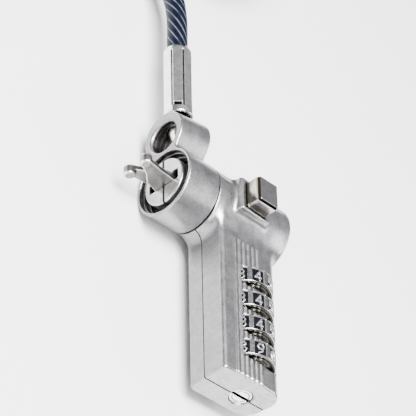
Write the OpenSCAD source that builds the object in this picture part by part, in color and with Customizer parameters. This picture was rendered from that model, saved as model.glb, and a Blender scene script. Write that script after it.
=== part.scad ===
// Laptop cable lock: four-dial combination head, swivel collar, T bar that opens inside
// a 3 x 7 mm security slot, and a steel cable with an end loop.
// Millimetres. Origin: centre of the nose face, where the T bar leaves the head.
// +Y runs back along the barrel, +X runs down the handle, +Z leaves the dial face.

/* [Barrel] */
// Outside radius of the swivel collar
collar_r = 9.5; // [9.4:0.1:9.8]
// Length of the swivel collar
collar_len = 10.6; // [10.4:0.1:10.8]
// Radius of the collar's open mouth
mouth_r = 8.7; // [8.4:0.1:8.8]
// Depth of the dark recess between collar and nose
mouth_depth = 6.3; // [6.3:0.1:7]
// Radius of the fixed nose inside the collar
nose_r = 6.65; // [6.6:0.05:6.8]
// Radius of the barrel behind the collar
barrel_r = 9.3; // [9.2:0.1:9.5]
// Length of the barrel, nose face to rear face
barrel_len = 36.4; // [36:0.2:38]

/* [Handle] */
// Barrel axis to the end of the handle
handle_len = 53; // [52.8:0.2:54]
// Side of the handle nearest the nose
handle_y0 = 13.1; // [12.9:0.1:13.2]
// Width of the handle
handle_w = 20.6; // [20.4:0.2:21]
// Height of the dial face above the parting plane
handle_face = 6.9; // [6.8:0.1:7.2]
// Depth of the back below the parting plane
handle_back = 5.9; // [5.9:0.1:6.4]
// Distance between two ribs on the dial face
rib_pitch = 1.6; // [1.5:0.05:1.65]

/* [Dials] */
// Outside radius of a number dial
dial_r = 7.5; // [7.3:0.05:7.5]
// Width of a dial
dial_w = 4.5; // [4.3:0.1:4.6]
// Distance between two dials
dial_pitch = 7.3; // [7.2:0.05:7.3]
// Centre of the first dial
dial_x = 22.4; // [22.4:0.1:22.8]
// Radius of the locking spindle
spindle_r = 2; // [1.9:0.05:2.1]

/* [Button] */
// Length of the button along the handle
button_x = 7.8; // [7.4:0.1:7.8]
// Width of the button along the barrel
button_y = 6.8; // [6.6:0.1:6.8]
// Height of the press face above the barrel axis
button_top = 15.3; // [15:0.1:16]
// Travel of the button
button_travel = 3; // [2:0.5:3]

/* [T bar] */
// Reach of the T bar beyond the nose face
bar_reach = 8.8; // [8.3:0.1:8.8]
// Offset of each bar's bulb from the centre when spread
bar_spread = 3; // [2.9:0.05:3.1]
// Radius of each bulb
bulb_r = 1.5; // [1.4:0.05:1.5]
// Thickness of both bars together
bar_t = 2.8; // [2.6:0.1:2.8]

/* [Cable] */
// Diameter of the coated steel cable
cable_d = 5.5; // [5:0.1:5.5]
// Length of the crimped ferrule
ferrule_len = 23; // [21:0.2:24]
// Outer radius of the hank's ends, at the middle of the cable
hank_r = 27.5; // [27.5:0.5:28.5]
// Length of the hank's straight runs between its ends
hank_run = 24; // [22:1:26]
// Turns in each layer of the hank
hank_turns = 2; // [1.9:0.1:2]
// Layers in the hank
hank_layers = 4; // [3:1:4]

/* [Hidden] */
$fn = 64;
floor_z = -collar_r;              // surface that the lock lies on
gap = 0.05;                       // radial running clearance
seam = 0.2;                       // gap between collar and barrel
parting = 0.02;                   // half the gap between the two shells

barrel_y0 = collar_len + seam;
handle_y1 = handle_y0 + handle_w;
rib_y0 = handle_y0 + 4.4;
rib_x0 = 12;

// swivel collar lobe and its cross hole
lobe_x = -16.6;
lobe_r = 6.7;
neck_half = 4.4;                  // half the neck between lobe and collar
eye_x = -14.6;
eye_r = 4.4;
cable_y = 5.6;                    // axis of ferrule and cable
swivel_neck_r = 1.9;
swivel_head_r = 2.7;
swivel_seat_x = -18.9;
ring_y0 = 5.5;                    // snap ring behind the recess
ring_y1 = 6.2;
ring_r = 7.6;
ring_groove_r = nose_r - 0.4;

// nose window and the channel behind it
window_x = bar_t / 2 + gap;
window_z = 5;
lip_y = 1.2;
channel_x = 2.6;
pivot_y = 4.5;
pivot_r = 0.9;
pivot_half = 4.2;

// drive pin that spreads and folds the bars
drive_y = 7.5;
drive_r = 0.6;
bar_swing = 6;                    // degrees each bar turns
swing_per_mm = bar_swing / 3;

// driver, a slide with a 45 degree ramp under the button
driver_half = 3.1;
driver_y0 = 14;
driver_y1 = 27.5;
driver_z0 = -3.8;
driver_z1 = 2.9;
ramp_y = 22;                      // where the ramp crosses the barrel axis
ramp_floor = -2.4;                // bottom of the slot that the stem goes down into
fork_x0 = bar_t / 2 + 0.15;
fork_t = 0.8;
nudge = 1.5;                      // spindle travel at full press
chamber_y0 = 12;
chamber_y1 = 33;

// dials
dial_count = 4;
dial_y = 25;
dial_z = 2.4;
dial_play = 0.15;
panels = 10;
first_panel = 14;                 // degrees from +Z towards -Y
sleeve_r = 4.5;
sleeve_w = dial_w - 0.3;
sleeve_bowl_r = 3.5;
sleeve_bowl = 2.9;
fin_r = 3.3;
spindle_x0 = 3.3;
spindle_x1 = 46.9;
spindle_bore_end = 49.3;
detent_r = 0.95;

// button and its shroud
button_yc = 22.1;
button_z0 = 9.6;
stem_r = 1.9;
stem_z0 = ramp_floor + 3.1;       // just clear of the slot's bottom at full travel
spring_z0 = 5.6;
spring_z1 = 12.6;
shroud_x = 4.9;

// reset screw in the handle's end
reset_y = 25.5;
reset_r = 2.9;
reset_face = handle_len - 0.3;
reset_back = handle_len - 1.4;

// ferrule
ferrule_x0 = -23.6;
ferrule_x1 = ferrule_x0 - ferrule_len;
ferrule_flat = 3.65;              // half the distance across its flats
rim_len = 3;
collet_x = -34;                   // where the cable ends inside the ferrule

// stored cable: a tied hank of flat oval turns, with the end loop on top
cable_r = cable_d / 2;
strap_t = 0.6;
hank_x = -124;
hank_y = 14.25;
hank_z0 = floor_z + strap_t + 0.1;
hank_in = hank_r - hank_turns * cable_d;
hank_top = hank_z0 + hank_layers * cable_d;
loop_in = 19.2;
loop_out = loop_in + cable_d + 0.2;
loop_top = hank_top + cable_d;
crimp_r = 3.7;
crimp_len = 15;
crimp_mid_z = hank_top + crimp_r + 0.05;
lead_y = hank_y - hank_r;
lead_z = hank_z0 + cable_r;
// way of the cable from the ferrule down and across to the outside of the hank
lead_route = [
    [collet_x, cable_y, 0],
    [-46, cable_y, 0],
    [-58, cable_y, 0],
    [-66, cable_y - 0.5, -0.9],
    [-74, cable_y - 3, -3],
    [-82, cable_y - 7, -5],
    [-90, cable_y - 11.4, lead_z + 0.05],
    [-98, lead_y + 3.5, lead_z],
    [-106, lead_y + 0.7, lead_z],
    [hank_x + hank_run / 2, lead_y, lead_z]
];

// straight solids named by the axis they follow

module rod_x(r, x0, x1, y = 0, z = 0) {
    translate([x0, y, z])
        rotate([0, 90, 0])
            cylinder(r = r, h = x1 - x0);
}

module rod_y(r, y0, y1, x = 0, z = 0) {
    translate([x, y0, z])
        rotate([-90, 0, 0])
            cylinder(r = r, h = y1 - y0);
}

module rod_z(r, z0, z1, x = 0, y = 0) {
    translate([x, y, z0])
        cylinder(r = r, h = z1 - z0);
}

module block(x, y, z) {
    translate([x[0], y[0], z[0]])
        cube([x[1] - x[0], y[1] - y[0], z[1] - z[0]]);
}

// a (y, z) outline carried along X
module slab_x(outline, x0, x1) {
    translate([x0, 0, 0])
        rotate([90, 0, 90])
            linear_extrude(x1 - x0)
                polygon(outline);
}

// an (x, y) outline carried along Z
module slab_z(outline, z0, z1) {
    translate([0, 0, z0])
        linear_extrude(z1 - z0)
            polygon(outline);
}

// points and tubes

function arc(c, r, a0, a1, n = 6) =
    [for (i = [0:n]) c + r * [cos(a0 + (a1 - a0) * i / n), sin(a0 + (a1 - a0) * i / n)]];

function unit(v) = v / norm(v);

function heading(p, i) =
    unit(p[min(i + 1, len(p) - 1)] - p[max(i - 1, 0)]);

function ring_points(c, t, up, r, sides) =
    let (u = unit(cross(t, up)), v = cross(u, t))
    [for (k = [0:sides - 1]) c + r * (cos(360 * k / sides) * u + sin(360 * k / sides) * v)];

// tube of radius r along the points p
module tube(p, r, up = [0, 0, 1], sides = 10) {
    n = len(p);
    points = [for (i = [0:n - 1]) each ring_points(p[i], heading(p, i), up, r, sides)];
    walls = [for (i = [0:n - 2], k = [0:sides - 1])
        let (a = i * sides + k, b = i * sides + (k + 1) % sides)
        [a, b, b + sides, a + sides]];
    first = [for (k = [sides - 1:-1:0]) k];
    last = [for (k = [0:sides - 1]) (n - 1) * sides + k];
    polyhedron(points, concat([first], walls, [last]), convexity = 6);
}

// helical spring of mean radius r and height h, standing on the origin
module spring(r, wire, h, turns, steps = 12) {
    count = turns * steps;
    tube([for (i = [0:count]) [r * cos(360 * i / steps), r * sin(360 * i / steps),
                               wire + (h - 2 * wire) * i / count]],
         wire, [0, 0, 1], 6);
}

function dial_centre(i) = dial_x + dial_pitch * i;

// head shells

edge_r = 1.15;                    // upper front edge of the handle

function handle_outline() = concat(
    arc([handle_y0 + 2.2, -handle_back + 2.2], 2.2, 180, 270),
    arc([handle_y1 - 5.4, -handle_back + 5.4], 5.4, 270, 360, 8),
    arc([handle_y1 - 4.4, handle_face - 4.7], 4.4, 0, 90, 8),
    [[handle_y0 + 11, handle_face + 0.4], [handle_y0 + 6, handle_face + 0.3]],
    arc([handle_y0 + edge_r, handle_face - edge_r], edge_r, 90, 180));

shroud_outline = [[16.8, 5], [16.8, 10.2], [17.4, 10.85], [26.9, 10.4], [26.9, 5]];

module head_outside() {
    rod_y(barrel_r, barrel_y0, barrel_len);
    rod_y(nose_r, 0, barrel_y0 + 1);
    slab_x(handle_outline(), 0, handle_len);
    slab_x(shroud_outline, -shroud_x, shroud_x);
    for (i = [0:5])
        rod_x(0.5, rib_x0, handle_len - 0.6, rib_y0 + rib_pitch * i, handle_face + 0.15);
}

module dial_cavity(i) {
    half = dial_w / 2 + dial_play;
    rod_x(dial_r + dial_play, dial_centre(i) - half, dial_centre(i) + half, dial_y, dial_z);
    rod_y(detent_r + gap, handle_y0 + 1.1, dial_y - 6, dial_centre(i), dial_z);
}

module head_inside() {
    // snap ring groove
    difference() {
        rod_y(nose_r + 0.2, ring_y0 - gap, ring_y1 + gap);
        rod_y(ring_groove_r, ring_y0 - 1, ring_y1 + 1);
    }
    // T bar window, channel and driver chamber
    block([-window_x, window_x], [-1, lip_y + 1], [-window_z, window_z]);
    block([-channel_x, channel_x], [lip_y, chamber_y0 + 1], [-window_z, window_z]);
    block([-driver_half - 0.2, driver_half + 1.8], [chamber_y0, chamber_y1], [-4, 3.2]);
    rod_x(pivot_r, -pivot_half, pivot_half, pivot_y);
    // button pocket and stem hole
    block([-button_x / 2 - 0.15, button_x / 2 + 0.15],
          [button_yc - button_y / 2 - 0.15, button_yc + button_y / 2 + 0.15],
          [spring_z0, button_top]);
    rod_z(stem_r + gap, 3, spring_z0 + 1, 0, button_yc);
    // spindle bore, open to the parting plane
    rod_x(spindle_r + 0.07, spindle_x0 - 0.1, spindle_bore_end, dial_y, dial_z);
    block([spindle_x0, spindle_bore_end], [dial_y - spindle_r - 0.07, dial_y + spindle_r + 0.07],
          [0, dial_z]);
    for (i = [0:dial_count - 1])
        dial_cavity(i);
    // reset screw seat
    rod_x(reset_r + 0.1, reset_back, handle_len + 1, reset_y);
    rod_x(1.55, spindle_bore_end - 0.1, reset_back + 1, reset_y);
    case_pin_set();
}

module shell_front() color("silver")
    difference() {
        head_outside();
        block([-20, 60], [-1, 40], [-12, parting]);
        head_inside();
    }

module shell_back() color("silver")
    difference() {
        head_outside();
        block([-20, 60], [-1, 40], [-parting, 20]);
        head_inside();
    }

module case_pin_set() {
    for (x = [dial_x + dial_pitch / 2, dial_x + dial_pitch * 2.5])
        rod_z(0.8, -4.4, 5.4, x, 16.4);
    for (x = [-6.4, 6.6])
        rod_z(0.8, -4.6, 4.6, x, 31);
}

module case_pins() color("dimgray")
    case_pin_set();

// swivel collar and cable swivel

module collar() color("gainsboro")
    difference() {
        union() {
            rod_y(collar_r, 0, collar_len);
            rod_y(lobe_r, 0, collar_len, lobe_x);
            block([lobe_x, -3], [0, collar_len], [-neck_half, neck_half]);
        }
        rod_y(mouth_r, -1, mouth_depth);
        rod_y(nose_r + 0.07, mouth_depth - 1, collar_len + 1);
        rod_y(eye_r, -1, collar_len + 1, eye_x);
        rod_x(swivel_head_r + 0.15, swivel_seat_x - gap, eye_x, cable_y);
        rod_x(swivel_neck_r + 0.07, -25, eye_x, cable_y);
    }

module snap_ring() color("dimgray")
    difference() {
        rod_y(ring_r, ring_y0, ring_y1);
        rod_y(ring_groove_r + gap, ring_y0 - 1, ring_y1 + 1);
        block([-1.5, 1.5], [ring_y0 - 1, ring_y1 + 1], [-9, 0]);
    }

module swivel_pin() color("silver") {
    rod_x(swivel_head_r, swivel_seat_x, swivel_seat_x + 0.6, cable_y);
    dome = [[0.6, swivel_head_r], [2, 2.3], [3.2, 1.3], [3.7, 0.5]];
    for (i = [0:2])
        translate([swivel_seat_x + dome[i][0], cable_y, 0])
            rotate([0, 90, 0])
                cylinder(r1 = dome[i][1], r2 = dome[i + 1][1], h = dome[i + 1][0] - dome[i][0]);
    rod_x(swivel_neck_r, ferrule_x0 - 5, swivel_seat_x + 1, cable_y);
}

module ferrule() color("gainsboro")
    difference() {
        union() {
            rod_x(ferrule_flat + 0.15, ferrule_x0 - rim_len, ferrule_x0, cable_y);
            translate([ferrule_x1 + 2, cable_y, 0])
                rotate([22.5, 0, 0])
                    rotate([0, 90, 0])
                        cylinder(r = ferrule_flat / cos(22.5), h = ferrule_len - rim_len - 1, $fn = 8);
            translate([ferrule_x1, cable_y, 0])
                rotate([0, 90, 0])
                    cylinder(r1 = cable_r + 0.35, r2 = ferrule_flat, h = 2);
        }
        rod_x(swivel_neck_r, ferrule_x0 - 5, ferrule_x0 + 1, cable_y);
        rod_x(cable_r + gap, ferrule_x1 - 1, collet_x, cable_y);
    }

// T bar: two bars that cross on one pivot

// middle line of the cam slot: the drive pin runs back while the bar turns
function slot_point(s, side) =
    [pivot_y, 0] + (drive_y - pivot_y + s) * [cos(swing_per_mm * s), -side * sin(swing_per_mm * s)];

function slot_outline(side, r, n = 6) = concat(
    [for (i = [0:n]) slot_point(3 * i / n, side) + [0, r]],
    [for (i = [n:-1:0]) slot_point(3 * i / n, side) - [0, r]]);

function bar_outline(side) = [for (p = [
    [11.7, -2.1], [11.7, 1.1], [5, 2.6], [0, bar_spread + 0.3], [-4.9, bar_spread + 0.5],
    [-bar_reach + 1.6, bar_spread + 0.9], [-bar_reach + 0.2, bar_spread + 1.2],
    [-bar_reach, 1.7], [-6.3, 0.3], [-3.9, -1.9], [0, -3], [5, -2.6]]) [p[0], side * p[1]]];

module bar(side) {
    inner = side * gap;
    outer = side * bar_t / 2;
    difference() {
        union() {
            slab_x(bar_outline(side), min(inner, outer), max(inner, outer));
            rod_x(bulb_r, -bar_t / 2, bar_t / 2, -bar_reach, side * bar_spread);
        }
        rod_x(pivot_r + gap, -2, 2, pivot_y);
        slab_x(slot_outline(side, drive_r + 0.06), -2, 2);
        for (s = [0, 3])
            rod_x(drive_r + 0.06, -2, 2, slot_point(s, side)[0], slot_point(s, side)[1]);
    }
}

module bar_a() color("lightsteelblue")
    bar(1);

module bar_b() color("lightsteelblue")
    bar(-1);

module pivot_pin() color("dimgray")
    rod_x(pivot_r, -pivot_half, pivot_half, pivot_y);

module drive_pin() color("dimgray")
    rod_x(drive_r, -fork_x0 - fork_t, fork_x0 + fork_t, drive_y);

// driver and button

module driver() color("goldenrod")
    difference() {
        union() {
            block([-driver_half, driver_half], [driver_y0, driver_y1], [driver_z0, driver_z1]);
            slab_z([[driver_half - 1, 16], [driver_half + nudge, 16],
                    [driver_half + nudge, dial_y - 3], [driver_half, dial_y],
                    [driver_half - 1, dial_y]], driver_z0, driver_z1);
            for (x = [-fork_x0 - fork_t, fork_x0])
                block([x, x + fork_t], [drive_y - 1.9, driver_y0 + 2], [-1.2, 1.2]);
        }
        slab_x([[driver_y0 - 1, ramp_floor], [ramp_y + ramp_floor, ramp_floor],
                [ramp_y + 3.2, 3.2], [driver_y0 - 1, 3.2]], -stem_r - 0.25, stem_r + 0.25);
        rod_x(drive_r, -4, 4, drive_y);
        rod_y(1.6, driver_y1 - 3.9, driver_y1 + 1, 0, -0.9);
    }

module driver_spring() color("gray")
    translate([0, driver_y1 - 0.8, -0.9])
        rotate([-90, 0, 0])
            spring(1.2, 0.25, chamber_y1 - driver_y1 + 0.75, 6);

module button() color("gainsboro")
    difference() {
        union() {
            slab_z([[-button_x / 2, button_yc - button_y / 2],
                    [button_x / 2, button_yc - button_y / 2],
                    [button_x / 2, button_yc + button_y / 2],
                    [-button_x / 2, button_yc + button_y / 2]], button_z0, button_top - 0.6);
            slab_x([[button_yc - button_y / 2, button_top - 0.6],
                    [button_yc - button_y / 2 + 0.5, button_top],
                    [button_yc + button_y / 2 - 0.5, button_top],
                    [button_yc + button_y / 2, button_top - 0.6]],
                   -button_x / 2 + 0.25, button_x / 2 - 0.25);
        }
        rod_z(3, button_z0 - 1, spring_z1, 0, button_yc);
    }

module button_stem() {
    difference() {
        rod_z(stem_r, stem_z0, spring_z1 + 0.5, 0, button_yc);
        slab_x([[ramp_y - 5, -5 + gap], [ramp_y + 5, 5 + gap], [ramp_y + 5, -6],
                [ramp_y - 5, -6]], -3, 3);
    }
}

module button_whole() {
    button();
    color("gainsboro")
        button_stem();
}

module button_spring() color("gray")
    translate([0, button_yc, spring_z0])
        spring(2.45, 0.25, spring_z1 - spring_z0, 5);

// dials, code sleeves and spindle

module dial(i) color("slategray")
    difference() {
        rod_x(dial_r, dial_centre(i) - dial_w / 2, dial_centre(i) + dial_w / 2, dial_y, dial_z);
        rod_x(sleeve_r, dial_centre(i) - dial_w, dial_centre(i) + dial_w, dial_y, dial_z);
        // shallow panels between raised bars
        for (k = [0:panels - 1])
            translate([dial_centre(i), dial_y, dial_z])
                rotate([first_panel + 360 / panels * k, 0, 0])
                    block([-dial_w / 2 + 0.5, dial_w / 2 - 0.5], [-1.55, 1.55],
                          [dial_r - 0.45, dial_r + 1]);
    }

module sleeve(i) color("peru")
    difference() {
        rod_x(sleeve_r, dial_centre(i) - sleeve_w / 2, dial_centre(i) + sleeve_w / 2,
              dial_y, dial_z);
        rod_x(spindle_r + 0.07, dial_centre(i) - 4, dial_centre(i) + 4, dial_y, dial_z);
        rod_x(sleeve_bowl_r, dial_centre(i) - 4, dial_centre(i) - sleeve_w / 2 + sleeve_bowl,
              dial_y, dial_z);
        // gate that the spindle's fin passes when the code is right
        block([dial_centre(i), dial_centre(i) + 4], [dial_y - 0.6, dial_y + 0.6],
              [dial_z - sleeve_bowl_r, dial_z]);
    }

module dial_1() dial(0);
module dial_2() dial(1);
module dial_3() dial(2);
module dial_4() dial(3);
module sleeve_1() sleeve(0);
module sleeve_2() sleeve(1);
module sleeve_3() sleeve(2);
module sleeve_4() sleeve(3);

module spindle() color("dimgray")
    difference() {
        union() {
            rod_x(spindle_r, spindle_x0 + spindle_r - 0.3, spindle_x1, dial_y, dial_z);
            translate([spindle_x0, dial_y, dial_z])
                rotate([0, 90, 0])
                    cylinder(r1 = 0.3, r2 = spindle_r, h = spindle_r - 0.3);
            for (i = [0:dial_count - 1])
                block([dial_centre(i) - 1.9, dial_centre(i) - 0.9],
                      [dial_y - 0.45, dial_y + 0.45], [dial_z - fin_r, dial_z]);
        }
        rod_x(1.2, spindle_x1 - 4, spindle_x1 + 1, dial_y, dial_z);
    }

module spindle_spring() color("gray")
    translate([spindle_x1 - 2.4, dial_y, dial_z])
        rotate([0, 90, 0])
            spring(0.85, 0.2, spindle_bore_end - spindle_x1 + 2.3, 5);

module detent_balls() color("silver")
    for (i = [0:dial_count - 1])
        translate([dial_centre(i), dial_y - dial_r - detent_r - gap, dial_z])
            sphere(r = detent_r);

module detent_springs() color("gray")
    for (i = [0:dial_count - 1])
        translate([dial_centre(i), handle_y0 + 1.15, dial_z])
            rotate([-90, 0, 0])
                spring(0.6, 0.16, dial_y - dial_r - 2 * detent_r - handle_y0 - 1.3, 3);

module reset_screw() color("silver")
    difference() {
        union() {
            rod_x(reset_r, reset_back + gap, reset_face, reset_y);
            rod_x(1.5, spindle_bore_end + 0.1, reset_back + 0.5, reset_y);
        }
        block([reset_face - 0.6, reset_face + 1], [reset_y - 4, reset_y + 4], [-0.45, 0.45]);
    }

// cable beyond the ferrule

module cable_lead() color("midnightblue")
    tube(lead_route, cable_r);

// oval solid of end radius r between two heights, its edges cut by c
module oval(r, z0, z1, c) {
    for (x = [-hank_run / 2, hank_run / 2])
        translate([hank_x + x, hank_y, 0])
            rotate_extrude()
                polygon([[0, z0], [r - c, z0], [r, z0 + c], [r, z1 - c], [r - c, z1], [0, z1]]);
    slab_x([[hank_y - r, z0 + c], [hank_y - r + c, z0], [hank_y + r - c, z0],
            [hank_y + r, z0 + c], [hank_y + r, z1 - c], [hank_y + r - c, z1],
            [hank_y - r + c, z1], [hank_y - r, z1 - c]],
           hank_x - hank_run / 2, hank_x + hank_run / 2);
}

module oval_ring(r0, r1, z0, z1) {
    difference() {
        oval(r1, z0, z1, 1.2);
        for (x = [-hank_run / 2, hank_run / 2])
            rod_z(r0, z0 - 1, z1 + 1, hank_x + x, hank_y);
        block([hank_x - hank_run / 2, hank_x + hank_run / 2], [hank_y - r0, hank_y + r0],
              [z0 - 1, z1 + 1]);
    }
}

module cable_coil() color("midnightblue")
    oval_ring(hank_in - cable_r, hank_r + cable_r, hank_z0, hank_top);

module cable_loop() color("midnightblue")
    oval_ring(loop_in - cable_r, loop_out + cable_r, hank_top, loop_top);

// oval sleeve crimped over the cable's end and the standing part beside it
module loop_sleeve() color("gainsboro") {
    for (y = [loop_in, loop_out])
        rod_x(crimp_r, hank_x - crimp_len / 2, hank_x + crimp_len / 2, hank_y + y,
              crimp_mid_z);
    block([hank_x - crimp_len / 2, hank_x + crimp_len / 2],
          [hank_y + loop_in, hank_y + loop_out],
          [crimp_mid_z - crimp_r, crimp_mid_z + crimp_r]);
}

// outline across one run, m outside the cable
function tie_outline(m) = let (
    inner = hank_y - hank_in + cable_r + m,
    outer = hank_y - hank_r - cable_r - m,
    shoulder = hank_top + 0.4 * m,
    mid = hank_y - (loop_in + loop_out) / 2,
    half = cable_r + 0.6 * m) [
    [outer, hank_z0 - m], [inner, hank_z0 - m], [inner, shoulder],
    [mid + half, loop_top + m], [mid - half, loop_top + m], [outer, shoulder]];

// strap round one run of the hank
module cable_tie() color("black")
    difference() {
        slab_x(tie_outline(strap_t), hank_x - 4, hank_x + 4);
        slab_x(tie_outline(0), hank_x - 5, hank_x + 5);
    }

shell_front();
shell_back();
collar();
snap_ring();
swivel_pin();
ferrule();
bar_a();
bar_b();
pivot_pin();
drive_pin();
driver();
driver_spring();
button_whole();  // button
button_spring();
spindle();
spindle_spring();
dial_1();
dial_2();
dial_3();
dial_4();
sleeve_1();
sleeve_2();
sleeve_3();
sleeve_4();
detent_balls();
detent_springs();
reset_screw();
case_pins();
cable_lead();
cable_coil();
cable_loop();
loop_sleeve();
cable_tie();
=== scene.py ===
import math
import bpy
import numpy as np
from mathutils import Euler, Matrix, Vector


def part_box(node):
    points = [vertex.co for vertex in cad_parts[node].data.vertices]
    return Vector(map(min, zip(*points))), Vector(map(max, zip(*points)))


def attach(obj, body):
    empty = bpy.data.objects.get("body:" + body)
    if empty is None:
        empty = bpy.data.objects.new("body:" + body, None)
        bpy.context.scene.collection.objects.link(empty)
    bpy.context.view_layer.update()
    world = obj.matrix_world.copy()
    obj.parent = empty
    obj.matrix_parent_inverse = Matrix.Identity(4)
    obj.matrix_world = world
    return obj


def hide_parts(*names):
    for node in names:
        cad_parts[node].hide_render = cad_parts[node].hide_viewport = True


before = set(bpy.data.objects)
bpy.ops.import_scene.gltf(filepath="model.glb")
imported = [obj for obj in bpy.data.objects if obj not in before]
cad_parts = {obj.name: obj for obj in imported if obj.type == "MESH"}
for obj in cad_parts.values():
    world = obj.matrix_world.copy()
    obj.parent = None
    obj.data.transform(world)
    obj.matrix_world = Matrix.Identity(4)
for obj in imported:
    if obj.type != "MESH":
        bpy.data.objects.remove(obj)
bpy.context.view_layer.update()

# laptop cable lock: everything below is worked out in millimetres and written in metres

mm = 0.001
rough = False
cellScale = 1.6 if rough else 1.0


# camera

camera = {
    "spot": (412.5, -357.7, 362.9),       # mm
    "turn": (39.436, -44.990, 88.542),    # degrees about x, y and z
    "lens": 228.2,                        # on a 36 mm sensor
}

def addCamera(p):
    data = bpy.data.cameras.new("photoCamera")
    data.lens = p["lens"]
    data.sensor_width = 36
    data.clip_start = 0.01
    data.clip_end = 20
    cam = bpy.data.objects.new("photoCamera", data)
    bpy.context.scene.collection.objects.link(cam)
    cam.location = Vector(p["spot"]) * mm
    cam.rotation_euler = Euler([math.radians(a) for a in p["turn"]], "XYZ")
    bpy.context.scene.camera = cam

addCamera(camera)


# meshes from arrays

def addPiece(name, points, quads, normals=None, uv=None, smooth=True, traits=None, caps=()):
    # points in mm, one row each; quads are rows of four point numbers, caps are rings of them;
    # traits are numbers on points
    mesh = bpy.data.meshes.new(name)
    mesh.vertices.add(len(points))
    mesh.vertices.foreach_set("co", (np.asarray(points, np.float32) * mm).ravel())
    corners = np.concatenate([quads.ravel(), *caps]).astype(np.int32)
    sizes = np.array([quads.shape[1]] * len(quads) + [len(c) for c in caps], np.int32)
    mesh.loops.add(len(corners))
    mesh.loops.foreach_set("vertex_index", corners)
    mesh.polygons.add(len(sizes))
    mesh.polygons.foreach_set("loop_start", np.cumsum(sizes, dtype=np.int32) - sizes)
    mesh.update(calc_edges=True)
    if smooth:
        mesh.polygons.foreach_set("use_smooth", np.ones(len(sizes), bool))
    if uv is not None:
        layer = mesh.uv_layers.new(name="along")
        spare = np.zeros((len(corners) - len(uv), 2))
        layer.data.foreach_set("uv", np.vstack([uv, spare]).astype(np.float32).ravel())
    for key, values in (traits or {}).items():
        layer = mesh.attributes.new(key, "FLOAT", "POINT")
        layer.data.foreach_set("value", np.asarray(values, np.float32).ravel())
    mesh.validate()
    if normals is not None:
        mesh.normals_split_custom_set_from_vertices(np.asarray(normals, np.float32))
    piece = bpy.data.objects.new(name, mesh)
    bpy.context.scene.collection.objects.link(piece)
    return piece

def endCaps(rows, columns):
    # the first and last rows of a tube as two rings, turned to face outwards
    return np.arange(columns)[::-1], (rows - 1) * columns + np.arange(columns)

def gridQuads(rows, columns, wrapRows=False, wrapColumns=False):
    # point numbers of the quads between neighbouring rows and columns of a grid
    i = np.arange(rows if wrapRows else rows - 1)
    j = np.arange(columns if wrapColumns else columns - 1)
    i, j = np.meshgrid(i, j, indexing="ij")
    i2, j2 = (i + 1) % rows, (j + 1) % columns
    return np.stack([i * columns + j, i * columns + j2, i2 * columns + j2, i2 * columns + j],
                    -1).reshape(-1, 4)


# distance fields, for castings whose faces run into each other

def smoothMin(a, b, k):
    # the lower of two distances, with the corner between them filled over a width k
    h = np.maximum(k - np.abs(a - b), 0) / k
    return np.minimum(a, b) - h * h * k / 4

def smoothMax(a, b, k):
    return -smoothMin(-a, -b, k)

def bothRounded(a, b, r):
    # inside both a and b, with the edge where they meet rounded to radius r
    return (np.minimum(np.maximum(a + r, b + r), 0)
            + np.hypot(np.maximum(a + r, 0), np.maximum(b + r, 0)) - r)

def slabDistance(p, low, high):
    return np.abs(p - (low + high) / 2) - (high - low) / 2

def boxDistance(x, y, z, spanX, spanY, spanZ, r=0.0):
    q = [slabDistance(p, *s) + r for p, s in ((x, spanX), (y, spanY), (z, spanZ))]
    outside = np.sqrt(sum(np.maximum(v, 0) ** 2 for v in q))
    return outside + np.minimum(np.maximum(np.maximum(q[0], q[1]), q[2]), 0) - r

def outlineDistance(u, v, corners):
    # distance to a closed outline, below zero inside, from its nearest side
    shape = np.broadcast_shapes(u.shape, v.shape)
    best = np.full(shape, 1e9)
    flip = np.ones(shape)
    for (au, av), (bu, bv) in zip(corners, corners[1:] + corners[:1]):
        eu, ev = bu - au, bv - av
        wu, wv = u - au, v - av
        t = np.clip((wu * eu + wv * ev) / (eu * eu + ev * ev), 0, 1)
        best = np.minimum(best, (wu - eu * t) ** 2 + (wv - ev * t) ** 2)
        above, crossing = v >= av, v < bv
        left = eu * wv > ev * wu
        swap = (above & crossing & left) | (~above & ~crossing & ~left)
        flip = np.where(swap, -flip, flip)
    return np.sqrt(best) * flip

def fieldSlope(field, p, step=0.02):
    out = np.empty_like(p)
    for a in range(3):
        q = p.copy(); q[:, a] += step
        o = p.copy(); o[:, a] -= step
        out[:, a] = (field(*q.T) - field(*o.T)) / (2 * step)
    return out

def fieldBend(field, p, step=0.3):
    # the field's mean over six neighbours less its own value: above zero on convex edges, below
    # zero in corners, about 1 where an edge's radius is the step
    around = -6 * field(*p.T)
    for a in range(3):
        for side in (-step, step):
            q = p.copy(); q[:, a] += side
            around += field(*q.T)
    return np.clip(around / step, -1, 1)

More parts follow.
